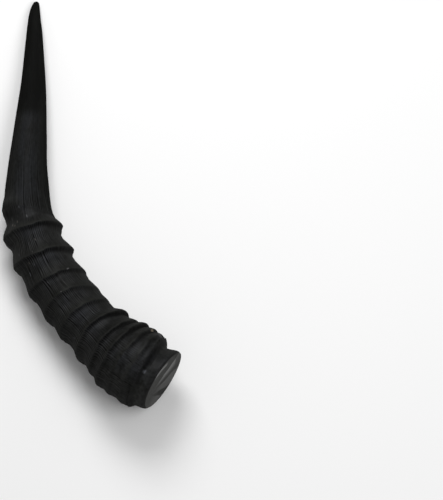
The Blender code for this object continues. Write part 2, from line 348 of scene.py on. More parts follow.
# How much each part adds to the share of olive, of dirt with painted shade, and of gloss.
OLIVE = SimpleNamespace(flare=0.7, clouds=0.5, all=0.25, upper=0.19)
SHADE_AND_DIRT = SimpleNamespace(shade=0.42, crack=0.9, lines=0.5)
GLOSS = SimpleNamespace(
    base=0.01, dry=0.02, ringed=0.09, streaks=0.1, thin=-0.05, dirt_and_shade=-0.1, fleck_and_glint=-0.1
)
POLISHED_BLACK = 0.15  # share of the black of dirt and painted shade, in the polished tip
BLUE_LOSS = 1.3  # how quickly the painted bluish reflection on the top ends on a flare
LEAST_BLUE = 0.4  # share of blue between the bluish patches
DUST = 0.2  # share of the fleck colour in the palest specks
FIBRE_BUMP = 0.3 * MM
MOTTLE_BUMP = (0.12 * MM, 0.6)  # depth and strength

KEY_FROM = (100, 50)  # degrees, heading and elevation of the main light
FILL_FROM = (330, 60)  # the same for the light from the base end
LIGHT_SIZE = 0.7  # m, the side of each lamp
LIGHT_DISTANCE = 1.4  # m, from each lamp to the horn
FLOOR_HALF = 4.0  # m, half the side of the floor
VIEW_END = 20.0  # m, how far the camera sees


def colour_setting(name, description, default):
    """A colour that a user can change."""
    return FloatVectorProperty(name=name, description=description, default=default, subtype="COLOR")


def length_setting(name, description, default):
    """A length that a user can change."""
    return FloatProperty(
        name=name, description=description, default=default, subtype="DISTANCE", unit="LENGTH"
    )


class HornSettings(bpy.types.PropertyGroup):
    """Sizes and colours of the horn."""

    sides: IntProperty(
        name="Sides", description="Facets around the horn", default=400, min=24, max=400
    )
    fibre_depth: length_setting("Fibre depth", "Depth of the lengthwise grooves", 0.55 * MM)
    lump_height: length_setting("Lump height", "Height of the soft unevenness", 0.35 * MM)
    crack_depth: length_setting("Crack depth", "Depth of the drying cracks", 0.6 * MM)
    black: colour_setting("Black", "Colour of the darkest horn", (0.0056, 0.0057, 0.0053))
    # This colour also paints the shade in the grooves, hollows and cracks.
    dirt_and_shade: colour_setting("Dirt", "Colour in the grooves and cracks", (0.0018, 0.0018, 0.0018))
    # This grey also paints the highlights on the crests, bands, lips, flares and shank.
    grey: colour_setting("Grey", "Colour of dry, worn horn", (0.0335, 0.0344, 0.0335))
    # This colour is a painted reflection of the sky on the top of the horn.
    top_sheen: colour_setting("Slate", "Colour of bluish worn horn", (0.0322, 0.0340, 0.0395))
    olive: colour_setting("Olive", "Colour of thin, brownish horn", (0.0175, 0.0182, 0.0150))
    # This colour also paints the glint on the collar.
    fleck_and_glint: colour_setting("Fleck", "Colour of the dried flecks", (0.080, 0.083, 0.094))
    ochre: colour_setting("Ochre", "Colour of the flecks that are warm", (0.13, 0.11, 0.085))
    sawn: colour_setting("Sawn horn", "Darkest colour of the cut face", (0.020, 0.0202, 0.0185))
    sanded: colour_setting("Sanded horn", "Palest colour of the cut face", (0.16, 0.16, 0.157))


class StageSettings(bpy.types.PropertyGroup):
    """The floor, the lights and the camera."""

    floor: colour_setting("Floor", "Colour of the floor", (0.92, 0.92, 0.92))
    key_power: FloatProperty(
        name="Key", description="Power of the main light", default=13.2, unit="POWER"
    )
    fill_power: FloatProperty(
        name="Fill", description="Power of the light from the base end", default=6.2, unit="POWER"
    )
    sky: FloatProperty(
        name="Sky", description="Strength of the even light all around", default=0.34
    )
    elevation: FloatProperty(
        name="Elevation",
        description="How steeply the camera looks down",
        default=math.radians(75),
        subtype="ANGLE",
        unit="ROTATION",
    )
    lens: FloatProperty(
        name="Lens", description="Focal length of the camera", default=800.0, unit="CAMERA"
    )
    distance: length_setting("Distance", "From the camera to the point it looks at", 9.333)
    aim: FloatVectorProperty(
        name="Aim",
        description="The point that the camera looks at, from the middle of the horn's box",
        default=(0.1094, -0.0440, -0.0037),
        subtype="TRANSLATION",
        unit="LENGTH",
    )


def read_curve(table, at):
    """Reads a table of (position, value) pairs as one smooth curve, at every position in an array."""
    xs = np.array([row[0] for row in table])
    ys = np.array([row[1] for row in table])
    slopes = np.gradient(ys, xs)
    at = np.clip(at, xs[0], xs[-1])
    k = np.clip(np.searchsorted(xs, at, side="right") - 1, 0, len(xs) - 2)
    width = xs[k + 1] - xs[k]
    t = (at - xs[k]) / width
    bend = (3 - 2 * t) * t * t
    start = (1 - t) ** 2 * t * width * slopes[k]
    end = (t - 1) * t * t * width * slopes[k + 1]
    return ys[k] * (1 - bend) + ys[k + 1] * bend + start + end


def around(sides, angle):
    """Blends values given on the inner side, top, outer side and underside around the horn."""
    inner, top, outer, under = sides
    return (
        (inner + top + outer + under) / 4
        + (inner - outer) / 2 * np.cos(angle)
        + (top - under) / 2 * np.sin(angle)
        + (inner - top + outer - under) / 4 * np.cos(2 * angle)
    )


def near(value, centre, spread):
    """1 at the centre, fading smoothly to 0 over about twice the spread."""
    return np.exp(-(((value - centre) / spread) ** 2))


def ramp(value, start, run):
    """0 before the start, rising evenly to 1 over the run."""
    return np.clip((value - start) / run, 0, 1)


def smooth(value, low, high):
    """0 below low, 1 above high, smooth in between."""
    t = ramp(value, low, high - low)
    return t * t * (3 - 2 * t)


def angle_gap(angle, degrees):
    """How far an angle is from a direction around the horn, in degrees."""
    return (np.degrees(angle) - degrees + 180) % 360 - 180


def facing(angle, *sides):
    """Sum of amounts, each of which fades away from its direction around the horn."""
    return sum(
        amount * near(angle_gap(angle, degrees), 0, spread) for amount, degrees, spread in sides
    )


def mark_at(mark, place, angle):
    """How strong a mark is at every place."""
    along = mark.amount * near(place, mark.place, mark.run)
    return along * near(angle_gap(angle, mark.angle), 0, mark.spread)


def random_bumps(distance, angle, bumps):
    """Smooth random bumps from about -1 to 1."""
    x = GRAIN_RADIUS / bumps.across * np.cos(angle) + bumps.seed
    y = GRAIN_RADIUS / bumps.across * np.sin(angle) - bumps.seed
    places = np.stack(np.broadcast_arrays(x, y, distance / bumps.along), axis=-1)
    values = [noise.noise(place) for place in places.reshape(-1, 3).tolist()]
    return np.array(values).reshape(places.shape[:-1])


def trace_centreline():
    """Distances from the tip and places along the smooth curve through CENTRELINE, in mm."""
    knots = [Vector(p) for p in CENTRELINE]
    ends = [2 * knots[0] - knots[1]] + knots + [2 * knots[-1] - knots[-2]]
    places = [knots[0]]
    for a, b, c, d in zip(ends, ends[1:], ends[2:], ends[3:]):
        for step in range(1, STEPS_PER_SPAN + 1):
            t = step / STEPS_PER_SPAN
            straight = 2 * b + (c - a) * t
            bent = (2 * a - 5 * b + 4 * c - d) * t * t + (3 * b - a - 3 * c + d) * t ** 3
            places.append((straight + bent) / 2)
    places = np.array(places)
    travelled = np.concatenate([[0.0], np.cumsum(np.linalg.norm(np.diff(places, axis=0), axis=1))])
    return travelled, places


def frames_at(trace, distance):
    """The middle of the horn, and its inner, top and growth directions, at every distance."""
    travelled, places = trace
    growth = np.gradient(places, axis=0)
    middle = np.stack([np.interp(distance, travelled, places[:, k]) for k in range(3)], axis=-1)
    growth = np.stack([np.interp(distance, travelled, growth[:, k]) for k in range(3)], axis=-1)
    growth /= np.linalg.norm(growth, axis=-1, keepdims=True)
    inner = np.cross((0.0, 0.0, 1.0), growth)
    inner /= np.linalg.norm(inner, axis=-1, keepdims=True)
    return middle, inner, np.cross(growth, inner), growth


def crest_line(order, angle):
    """Where one ring's crest runs around the horn, in mm from the tip."""
    waver = sum(
        height * np.sin(waves * angle + order * waves * WAVER_TURN)
        for waves, height in CREST_WAVER
    )
    return around(RINGS[order].crest, angle) + waver


def crowd(count, crowding):
    """Shares of a stretch, the last one 1, closer together towards both of its ends."""
    even = np.arange(1, count + 1) / count
    return even - crowding * np.sin(2 * np.pi * even) / (2 * np.pi)


def skin_rows(angle, length):
    """Distance from the tip of every row of the skin, at every angle, tip first."""
    crests = [crest_line(order, angle) for order in range(len(RINGS))]
    groove = length - around(GROOVE_STARTS, angle)
    tip_count = round(crests[0].mean() / TIP_ROW_PITCH)
    tip_shares = (np.arange(1, tip_count + 1) / tip_count) ** TIP_CROWDING
    stretches = [(np.zeros_like(angle), crests[0], tip_shares)]
    for above, below in zip(crests, crests[1:] + [groove]):
        count = max(round((below - above).mean() / RING_ROW_PITCH), LEAST_ROWS)
        stretches.append((above, below, crowd(count, RING_CROWDING)))
    collar_shares = np.arange(1, COLLAR_ROWS + 1) / COLLAR_ROWS
    stretches.append((groove, np.full_like(angle, length), collar_shares))
    rows = [
        above + (below - above) * share for above, below, shares in stretches for share in shares
    ]
    return np.array(rows)


def sections_at(distance, angle, length):
    """How many crests are passed from the tip, and the share of the way to the next one."""
    lines = [np.zeros_like(angle)] + [crest_line(order, angle) for order in range(len(RINGS))]
    lines.append(length - around(GROOVE_STARTS, angle))
    passed, share = np.zeros_like(distance), np.zeros_like(distance)
    for order, (start, end) in enumerate(zip(lines, lines[1:])):
        inside = distance > start + TOUCH
        passed = np.where(inside, order, passed)
        share = np.where(inside, (distance - start) / (end - start), share)
    return passed, np.clip(share, 0, 1)


def calm_at(distance, angle):
    """1 in the middle of the flat rough patch at the base end."""
    return facing(angle, CALM_SIDE) * ramp(distance, *CALM_START)


def ring_relief(distance, angle):
    """How far the rings stand out, in mm, and masks of flares, crests, painted shade at the grooves and
    bands of painted highlight.
    """
    rise, flare, crest, shade, wear = (np.zeros_like(distance) for _ in range(5))
    calm = calm_at(distance, angle)
    for order, ring in enumerate(RINGS):
        line = crest_line(order, angle)
        past = distance - line
        falls = past > TOUCH
        reach = np.where(
            falls, ring.fall * around(FALL_REACH, angle), ring.flare * around(FLARE_REACH, angle)
        )
        power = np.where(falls, around(FALL_POWER, angle), around(FLARE_POWER, angle))
        height = around(ring.radius, angle) - read_curve(SHANK, line)
        edge = ring.edge * around(CREST_ROUND, angle)
        away = np.sqrt(past**2 + edge**2) - edge
        share = np.clip(1 - away / reach, 0, 1)
        # The groove's depth also sets the painted shade in it.
        groove = near(past, around(GROOVE_PLACE, angle), around(GROOVE_WIDTH, angle))
        groove = groove * around(ring.groove, angle) * (1 - calm)
        full = ramp(height, 0, FULL_RING)
        notch = mark_at(NOTCH, past, angle) * full
        lip = height * (1 - CALM_RING_LOSS * calm) * share**power
        rise = np.maximum(rise, lip) - groove - notch
        flare = np.maximum(flare, np.where(falls, 0.0, share) * ramp(height, 0, FULL_FLARE))
        # The rubbed line along the crest, which also carries a painted highlight.
        crest = np.maximum(crest, near(past, *RUBBED_AND_LIT_LINE) * (1 - calm))
        wide = mark_at(WIDE_SHADE, past, angle) * full * (past > 0)
        if order >= DEEP_SHADE_FROM:
            wide = wide + mark_at(DEEP_GROOVE_SHADE, past, angle)
        shade = np.maximum(shade, np.maximum(groove, wide))
        # A band of painted highlight behind the groove.
        paled = near(past, *HIGHLIGHT_BAND) * full * (1 - calm)
        wear = np.maximum(wear, paled * (past > 0))
    return rise, flare, crest, shade, wear


def crack_depth_at(distance, angle):
    """1 in the middle of a crack, fading to 0 at its sides and ends."""
    depth = np.zeros_like(distance)
    for (start, start_angle), (end, end_angle) in CRACKS:
        along = ramp(distance, start, end - start)
        beyond = np.maximum(start - distance, 0) + np.maximum(distance - end, 0)
        sway = CRACK_SWAY[0] * np.sin(along * CRACK_SWAY[1] + start)
        aside = angle_gap(angle, start_angle + (end_angle - start_angle) * along + sway)
        aside = np.radians(aside) * GRAIN_RADIUS
        taper = np.sqrt(np.clip(4 * along * (1 - along), 0, 1))
        here = taper * near(aside, 0, CRACK_WIDTH) * near(beyond, 0, CRACK_END)
        depth = np.maximum(depth, here)
    return depth


def flecks_at(distance, angle):
    """Masks of the pale flecks and of how warm their colour is."""
    mask, warm = np.zeros_like(distance), np.zeros_like(distance)
    for at, degrees, length, width, warmth in FLECKS:
        aside = np.radians(angle_gap(angle, degrees)) * GRAIN_RADIUS
        away = np.hypot((distance - at) / length, aside / width)
        here = np.clip(FLECK_EDGE - away, 0, 1)
        mask = np.maximum(mask, here)
        warm = np.where(here > 0, warmth, warm)
    return mask, warm


def collar_radius(share, angle):
    """Radius in mm along the groove and the collar, from 0 at the groove to 1 at the cut."""
    radius = np.zeros_like(share)
    for (start, near_radii), (end, far_radii) in zip(COLLAR, COLLAR[1:]):
        t = ramp(share, start, end - start)
        a, b = around(near_radii, angle), around(far_radii, angle)
        radius = np.where(share >= start, a + (b - a) * t, radius)
    return radius


def lamellae_at(distance, angle, passed, share):
    """The lengthwise grooves from -1 to 1, how strong they are, and how they wander."""
    shifted = distance + passed * SECTION_SHIFT
    sway = random_bumps(shifted, angle, SWAY_BUMPS)
    uneven = random_bumps(shifted, angle, UNEVEN_BUMPS)
    count = LAMELLAE[0] + LAMELLAE[1] * passed
    regular_share, uneven_share = LAMELLA_WAVES
    waves = regular_share * np.sin(count * angle + LAMELLA_SWAY * sway) + uneven_share * uneven
    waves = np.clip(waves + facing(angle, *LAMELLA_BIAS), -1, 1)

    side = LAMELLA_STRENGTH + facing(angle, *LAMELLA_SIDES)
    side = side * (1 - facing(angle, SMOOTH_INNER) * (passed >= SMOOTH_INNER_FROM))
    for crests, left in enumerate(FIRST_LAMELLAE, start=1):
        side = side * np.where(passed == crests, left, 1.0)
    start, run, loss = LAMELLA_FADE
    start = start + facing(angle, LAMELLA_REACH)
    kept = 1 - loss * smooth(share, start, start + run)
    mean, least, most = LAMELLA_PATCHES
    patches = np.clip(mean + random_bumps(shifted, angle, PATCH_BUMPS), least, most)
    on_tip = TIP_STRIPES + sum(more * smooth(distance, *span) for more, *span in SHANK_STRIPES)
    return waves, np.where(passed == 0, on_tip, side * kept * patches), sway


def shape_skin(distance, angle, length, settings):
    """Radius of the skin in mm and the masks that its finish reads, at every place."""
    rise, flare, crest, shade, wear = ring_relief(distance, angle)
    passed, share = sections_at(distance, angle, length)
    collar_share = 1 - (length - distance) / around(GROOVE_STARTS, angle)
    on_collar = collar_share >= 0
    leaning, lean_place, lean_spread = TIP_LEAN
    lean = 1 - leaning * np.cos(angle) * near(distance, lean_place, lean_spread)
    swell = smooth(distance, *SWELL_STARTS) * (1 - smooth(distance, *SWELL_ENDS))
    ringed = read_curve(SHANK, distance) * lean + rise + swell * facing(angle, SWELL_SIDE)
    radius = np.where(on_collar, collar_radius(collar_share, angle), ringed)

    calm = calm_at(distance, angle) * ~on_collar
    waves, striped, sway = lamellae_at(distance, angle, passed, share)
    striped = striped * np.where(on_collar, COLLAR_STRIPES, 1.0) * (1 - CALM_STRIPE_LOSS * calm)
    uneven = ramp(distance, *UNEVEN_FROM) * np.where(on_collar, COLLAR_EVEN, 1.0)
    lumps = random_bumps(distance, angle, LUMPS) * (SHANK_LUMPS + (1 - SHANK_LUMPS) * uneven)
    rough = random_bumps(distance, angle, ROUGH_BUMPS) * (ROUGHNESS[0] + ROUGHNESS[1] * calm)
    ridges = random_bumps(distance, angle, LONG_RIDGES) * (1 - uneven)
    cuts = np.clip(waves + LAMELLA_CUT, 0, 1) * striped * uneven
    cracks = crack_depth_at(distance, angle)
    radius = radius + ramp(radius, 0, FULL_RELIEF) * (
        lumps * settings.lump_height / MM
        + rough * uneven * ROUGH_HEIGHT
        + ridges * RIDGE_HEIGHT
        - cuts * settings.fibre_depth / MM
        - cracks * settings.crack_depth / MM
    )

    past_first = distance - crest_line(0, angle)
    # Painted highlights: the bands behind the grooves on the top, the inner lip, the rise to the first
    # ring and the outer flares.
    wear = np.maximum(wear * facing(angle, SHEEN_SIDE), mark_at(LIT_LIP, distance, angle))
    wear = np.maximum(wear, mark_at(FIRST_LIT_RISE, past_first, angle))
    wear = np.maximum(wear, flare * mark_at(LIT_FLARES, distance, angle))
    # Painted shade behind the first ring, and in the collar's groove.
    shade = np.maximum(shade, mark_at(FIRST_SHADE, past_first, angle))
    shade = np.where(on_collar, near(collar_share, *COLLAR_GROOVE), shade)
    aged = mark_at(AGED, collar_share, angle)
    # Painted sheen around the collar's glint, and real wear on its aged part.
    collar_wear_and_sheen = np.maximum(mark_at(COLLAR_SHEEN, distance, angle), AGED_WEAR * aged)
    mean, swing, most = CHIP_CHALK
    chip = np.clip(mean + swing * random_bumps(distance, angle, CHIP_BUMPS), 0, most)
    chip = mark_at(CHIP, distance, angle) * chip
    flecks, warm = flecks_at(distance, angle)
    masks = {
        "passed": passed,
        "flare": np.where(on_collar, aged, flare),
        "crest": crest * ~on_collar * (1 - facing(angle, CREST_FADE)),
        # With painted shade from the last ring into the collar's groove.
        "shade": np.maximum(shade, mark_at(LAST_RING_SHADE, collar_share, angle)),
        "wear": np.where(on_collar, collar_wear_and_sheen, wear),
        "sway": sway,
        "striped": striped,
        "calm": np.where(on_collar, facing(angle, ROUGH_COLLAR), calm),
        "crack": cracks,
        "fleck_and_glint": np.maximum(flecks, chip),
        "warm": np.maximum(warm, CHIP_WARMTH * chip),
    }
    return radius, masks


def place_on_horn(trace, distance, angle, radius):
    """Places in metres from distances, angles and radii in mm."""
    middle, inner, top, _ = frames_at(trace, distance)
    outward = inner * np.cos(angle)[..., None] + top * np.sin(angle)[..., None]
    return (middle + outward * radius[..., None]) * MM


def fan_at(inner, top):
    """Height in mm of the sanding marks at places on the cut face, in mm from its middle."""
    fan = np.degrees(np.arctan2(top - FAN_START[1], inner - FAN_START[0]))
    from_start = np.hypot(top - FAN_START[1], inner - FAN_START[0])
    height = np.interp(fan, [row[0] for row in FAN], [row[2] for row in FAN])
    return height * ramp(from_start, 0, FAN_RISE)


def shape_face(trace, angle, rim_radius):
    """Rows of the cut face from its middle to the rim: places in metres, and inner and top in mm."""
    shares = np.arange(1, FACE_ROWS) / FACE_ROWS
    radius = shares[:, None] * rim_radius
    inner, top = radius * np.cos(angle), radius * np.sin(angle)
    rim = np.clip((1 - shares[:, None]) * RIM_FADE, 0, 1)
    height = fan_at(inner, top) * rim
    middle, inner_way, top_way, growth = frames_at(trace, np.full_like(radius, trace[0][-1]))
    place = middle + inner_way * inner[..., None] + top_way * top[..., None]
    return (place + growth * height[..., None]) * MM, inner, top


def skin_topology(bm, row_count, sides):
    """Extrudes a circle row by row and closes both ends with a point. The points come last."""
    bmesh.ops.create_circle(bm, radius=1.0, segments=sides)
    first_edges = edges = list(bm.edges)
    for _ in range(row_count - 1):
        grown = bmesh.ops.extrude_edge_only(bm, edges=edges)["geom"]
        edges = [e for e in grown if isinstance(e, bmesh.types.BMEdge) and len(e.link_faces) == 1]
    for open_edges in (first_edges, edges):
        grown = bmesh.ops.extrude_edge_only(bm, edges=open_edges)["geom"]
        verts = [v for v in grown if isinstance(v, bmesh.types.BMVert)]
        bmesh.ops.pointmerge(bm, verts=verts, merge_co=(0, 0, 0))


def from_lowest(corners):
    """The corners from the lowest one on. A four-sided face keeps the diagonal that splits it."""
    step = 2 if len(corners) == 4 else 1
    start = min(range(0, len(corners), step), key=lambda place: corners[place])
    return corners[start:] + corners[:start]


def in_steady_order(grown):
    """The same skin, smooth, with its faces listed by their vertices. Extruding lists them by chance."""
    grown.verts.index_update()
    faces = sorted(from_lowest([vert.index for vert in poly.verts]) for poly in grown.faces)
    steady = bmesh.new()
    verts = [steady.verts.new(vert.co) for vert in grown.verts]
    for corners in faces:
        poly = steady.faces.new([verts[index] for index in corners])
        poly.smooth = True
    grown.free()
    return steady


def grow_horn_mesh(settings):
    """Builds the whole skin, with its masks and grain, black horn in slot 0 and its cut in slot 1."""
    trace = trace_centreline()
    length = trace[0][-1]
    even = np.arange(settings.sides) * 2 * np.pi / settings.sides
    angle = even + TOP_DENSITY * np.cos(even)
    distance = skin_rows(angle, length)
    angles = np.broadcast_to(angle, distance.shape)
    radius, masks = shape_skin(distance, angles, length, settings)
    skin = place_on_horn(trace, distance, angles, radius)
    face, inner, top = shape_face(trace, angle, radius[-1])

    rows = np.concatenate([face, skin[::-1]])
    tip, centre = trace[1][0] * MM, trace[1][-1] * MM
    places = np.concatenate([rows.reshape(-1, 3), [centre, tip]])

    bm = bmesh.new()
    skin_topology(bm, len(rows), settings.sides)
    for vert, place in zip(bm.verts, places.tolist()):
        vert.co = place
    bmesh.ops.recalc_face_normals(bm, faces=bm.faces)
    bm = in_steady_order(bm)
    mesh = bpy.data.meshes.new("horn_skin")
    bm.to_mesh(mesh)
    bm.free()

    wrap = GRAIN_RADIUS * np.stack([np.cos(angles), np.sin(angles)])
    wrap[:, -1] *= radius[-1] / GRAIN_RADIUS
    grain = np.stack([wrap[0], wrap[1], distance], axis=-1) * MM
    face_grain = np.stack([inner, top, np.full_like(inner, length)], axis=-1) * MM
    store_vector(mesh, "grain", face_grain, grain, [(0, 0, length * MM), (0, 0, 0)])
    for name, mask in masks.items():
        store_mask(mesh, name, np.zeros(inner.shape), mask)
    rim_end, face_middle = FACE_ROWS * settings.sides, len(rows) * settings.sides
    for poly in mesh.polygons:
        cut = all(vert < rim_end or vert == face_middle for vert in poly.vertices)
        poly.material_index = 1 if cut else 0
    return mesh


def store_vector(mesh, name, on_face, on_skin, at_ends):
    """Stores a vector for every vertex: the cut face, the skin from base to tip, the end points."""
    values = np.concatenate([on_face.reshape(-1, 3), on_skin[::-1].reshape(-1, 3), at_ends])
    mesh.attributes.new(name, "FLOAT_VECTOR", "POINT").data.foreach_set("vector", values.ravel())


def store_mask(mesh, name, on_face, on_skin):
    """Stores a number for every vertex in the same order, 0 at the end points."""
    values = np.concatenate([on_face.ravel(), on_skin[::-1].ravel(), [0.0, 0.0]])
    mesh.attributes.new(name, "FLOAT", "POINT").data.foreach_set("value", values)


class Value:
    """A number that varies over a surface. Arithmetic on it adds Math nodes."""

    def __init__(self, finish, socket):
        self.finish, self.socket = finish, socket

    def math(self, operation, *terms, clamp=False):
        settings = {"operation": operation, "use_clamp": clamp}
        return self.finish.node("ShaderNodeMath", settings, dict(enumerate(terms)))

    def __add__(self, other):
        return self.math("ADD", self, other)

    def __radd__(self, other):
        return self.math("ADD", other, self)

    def __sub__(self, other):
        return self.math("SUBTRACT", self, other)

    def __rsub__(self, other):
        return self.math("SUBTRACT", other, self)

    def __mul__(self, other):
        return self.math("MULTIPLY", self, other)

    def __rmul__(self, other):
        return self.math("MULTIPLY", other, self)

    def clamped(self):
        return self.math("ADD", self, 0.0, clamp=True)

    def lifted(self, low):
        """low where this is 0, 1 where it is 1."""
        return low + self * (1.0 - low)

    def step(self, low, high):
        """0 below low, 1 above high, smooth in between."""
        settings = {"interpolation_type": "SMOOTHSTEP"}
        sockets = {"Value": self, "From Min": low, "From Max": high}
        return self.finish.node("ShaderNodeMapRange", settings, sockets)


class Finish:
    """A material made of one Principled shader and the nodes that feed it."""

    def __init__(self, name):
        self.material = bpy.data.materials.new(name)
        self.material.use_nodes = True
        self.tree = self.material.node_tree
        self.shader = self.tree.nodes["Principled BSDF"]

    def node(self, kind, settings=None, sockets=None, output=0):
        """Adds a node, sets it up, then gives its sockets their values or links."""
        made = self.tree.nodes.new(kind)
        for name, value in (settings or {}).items():
            setattr(made, name, value)
        for name, value in (sockets or {}).items():
            self.feed(made.inputs[name], value)
        return Value(self, made.outputs[output])

    def feed(self, socket, value):
        """Links a varying value to a socket, or sets a plain one."""
        if isinstance(value, Value):
            self.tree.links.new(value.socket, socket)
        elif hasattr(value, "__len__") and len(value) == 3 and len(socket.default_value) == 4:
            socket.default_value = (*value, 1.0)
        else:
            socket.default_value = value

    def attribute(self, name, output="Fac"):
        return self.node("ShaderNodeAttribute", {"attribute_name": name}, output=output)

    def axes(self, vector):
        """The three parts of a vector."""
        sockets = {"Vector": vector}
        return (self.node("ShaderNodeSeparateXYZ", None, sockets, output=axis) for axis in "XYZ")

    def noise(self, vector, pattern):
        """One of the random patterns."""
        sockets = {"Vector": vector, "Scale": pattern.squeeze}
        sockets = {
            "Vector": self.node("ShaderNodeMapping", None, sockets),
            "Scale": pattern.scale,
            "Detail": pattern.detail,
            "Roughness": pattern.roughness,
        }
        return self.node("ShaderNodeTexNoise", None, sockets, output="Fac")

    def mix(self, share, first, second):
        """Blends two colours."""
        settings = {"data_type": "RGBA"}
        return self.node("ShaderNodeMix", settings, {0: share, 6: first, 7: second}, output=2)

    def bump(self, height, depth, strength=1.0, normal=None):
        """A surface normal from a height between 0 and 1 that is worth a depth in metres."""
        sockets = {"Height": height, "Distance": depth, "Strength": strength}
        if normal is not None:
            sockets["Normal"] = normal
        return self.node("ShaderNodeBump", None, sockets)

    def dress(self, **sockets):
        """Sets the shader's own sockets, whose names are written with _ for a space."""
        for name, value in sockets.items():
            self.feed(self.shader.inputs[name.replace("_", " ")], value)


def keratin(settings):
    """Black horn: satin, greyer where it is dry, with fine fibres along its length."""
    finish = Finish("Black horn")
    grain = finish.attribute("grain", "Vector")
    inner, top, from_tip = finish.axes(grain)
    flare, crest, shade, wear = map(finish.attribute, ("flare", "crest", "shade", "wear"))
    striped, sway, calm = map(finish.attribute, ("striped", "sway", "calm"))
    crack, fleck_and_glint, warm = map(finish.attribute, ("crack", "fleck_and_glint", "warm"))
    passed = finish.attribute("passed")

    shift = finish.node("ShaderNodeCombineXYZ", None, {"Z": passed * (SECTION_SHIFT * MM)})
    moved = finish.node("ShaderNodeVectorMath", {"operation": "ADD"}, {0: grain, 1: shift})
    clouds, mottle = finish.noise(grain, CLOUDS), finish.noise(grain, MOTTLE)
    fibres, blotches = finish.noise(moved, FIBRES), finish.noise(grain, BLOTCHES)
    # The lengthwise lines: a painted highlight on their ridges and painted shade in their grooves.
    turn = top.math("ARCTAN2", top, inner)
    turn = turn * (passed * LAMELLAE[1] + LAMELLAE[0]) + sway * LAMELLA_SWAY
    lines = turn.math("SINE", turn) * LINES.grooves + (fibres - 0.5) * LINES.fibres
    streaks = (0.5 - lines.step(*LINES.span)) * striped

    ringed = passed.clamped()
    dry = from_tip.step(*TIP_POLISH)
    polished = 1.0 - dry
    shank = dry * (1.0 - from_tip.step(*SHANK_ENDS))
    # Painted light and shade: the upper side lighter, the lower side darker, and near the base the upper
    # inner side darker.
    upper = (inner * UPPER_WAY[0] + top * UPPER_WAY[1]).step(*UPPER_SPAN)
    inner_shade = (inner * INNER_SHADE_WAY[0] + top * INNER_SHADE_WAY[1]).step(*INNER_SHADE_SPAN) * from_tip.step(*INNER_SHADE_FROM)
    flank = 1.0 - (inner * RIDGE_WAY[0] + top * RIDGE_WAY[1]) * (1.0 / WRAP)

    # The share of grey: dry and worn horn, with painted highlights on the crests, bands, lips and
    # flares.
    paled = GREY.base + clouds.step(*PALE_CLOUDS) * GREY.clouds + crest * GREY.crest + calm * GREY.calm
    paled = paled + (mottle - 0.5) * (GREY.mottle + calm * GREY.calm_mottle)
    paled = paled + striped * GREY.striped + streaks * GREY.streaks
    paled = paled + wear * GREY.wear + flare * GREY.flare
    paled = paled * dry.lifted(TIP_GREY) * upper.lifted(LOWER_GREY) * ringed.lifted(SMOOTH_GREY)
    # Painted reflection: the polished tip's flanks are lighter, and the shank has a pale painted
    # highlight along its middle with darker flanks.
    paled = paled + polished * flank * GREY.polished_flank
    paled = (paled * (1.0 + shank * (GREY.shank + flank * GREY.shank_flank))).clamped()
    paled = paled * (1.0 + inner_shade * GREY.inner_shade)
    blotched = from_tip.step(*BLOTCHED_FROM) * GREY.rings_blotch
    blotched = blotched + from_tip.step(*COLLAR_FROM) * (flare * GREY.aged_blotch + GREY.collar_blotch)
    paled = (paled + (blotches.step(*BLOTCH_EDGES) - 0.5) * blotched).clamped()

    # Painted reflection of the sky: bluish on the top of the horn.
    bluish = top.step(*TOP_SPAN) * (1.0 - flare * BLUE_LOSS).clamped()
    bluish = bluish * clouds.step(*BLUE_CLOUDS).lifted(LEAST_BLUE)
    pale = finish.mix(bluish, tuple(settings.grey), tuple(settings.top_sheen))
    colour = finish.mix(paled, tuple(settings.black), pale)
    colour = finish.mix(polished * POLISHED_BLACK, colour, tuple(settings.dirt_and_shade))
    thin = (flare * flare * OLIVE.flare + clouds.step(*OLIVE_CLOUDS) * OLIVE.clouds).clamped()
    thin = thin * mottle.step(*OLIVE_MOTTLE)
    # More olive on the lit upper side, as painted light.
    colour = finish.mix(thin * (OLIVE.all + upper * OLIVE.upper), colour, tuple(settings.olive))
    # Dirt and painted shade: grooves, hollows, cracks and the floors of the lengthwise lines are
    # darkened as if in shade.
    dirt_and_shade = shade * SHADE_AND_DIRT.shade + crack * SHADE_AND_DIRT.crack + lines.step(*LINES.shaded) * striped * SHADE_AND_DIRT.lines
    dirt_and_shade = dirt_and_shade.clamped()
    colour = finish.mix(dirt_and_shade, colour, tuple(settings.dirt_and_shade))
    chalk = finish.mix(warm, tuple(settings.fleck_and_glint), tuple(settings.ochre))
    colour = finish.mix((fleck_and_glint + mottle.step(*DUST_MOTTLE) * DUST).clamped(), colour, chalk)

    gloss = GLOSS.base + dry * GLOSS.dry + ringed * GLOSS.ringed + streaks * GLOSS.streaks
    gloss = gloss + thin * GLOSS.thin + dirt_and_shade * GLOSS.dirt_and_shade + fleck_and_glint * GLOSS.fleck_and_glint
    relief = finish.bump(fibres, FIBRE_BUMP, striped)
    relief = finish.bump(mottle, *MOTTLE_BUMP, relief)
    finish.dress(
        Base_Color=colour,
        Roughness=0.7,
        Specular_IOR_Level=0.0,
        Normal=relief,
        Coat_Weight=gloss.clamped(),
        Coat_Roughness=0.4,
    )
    return finish.material


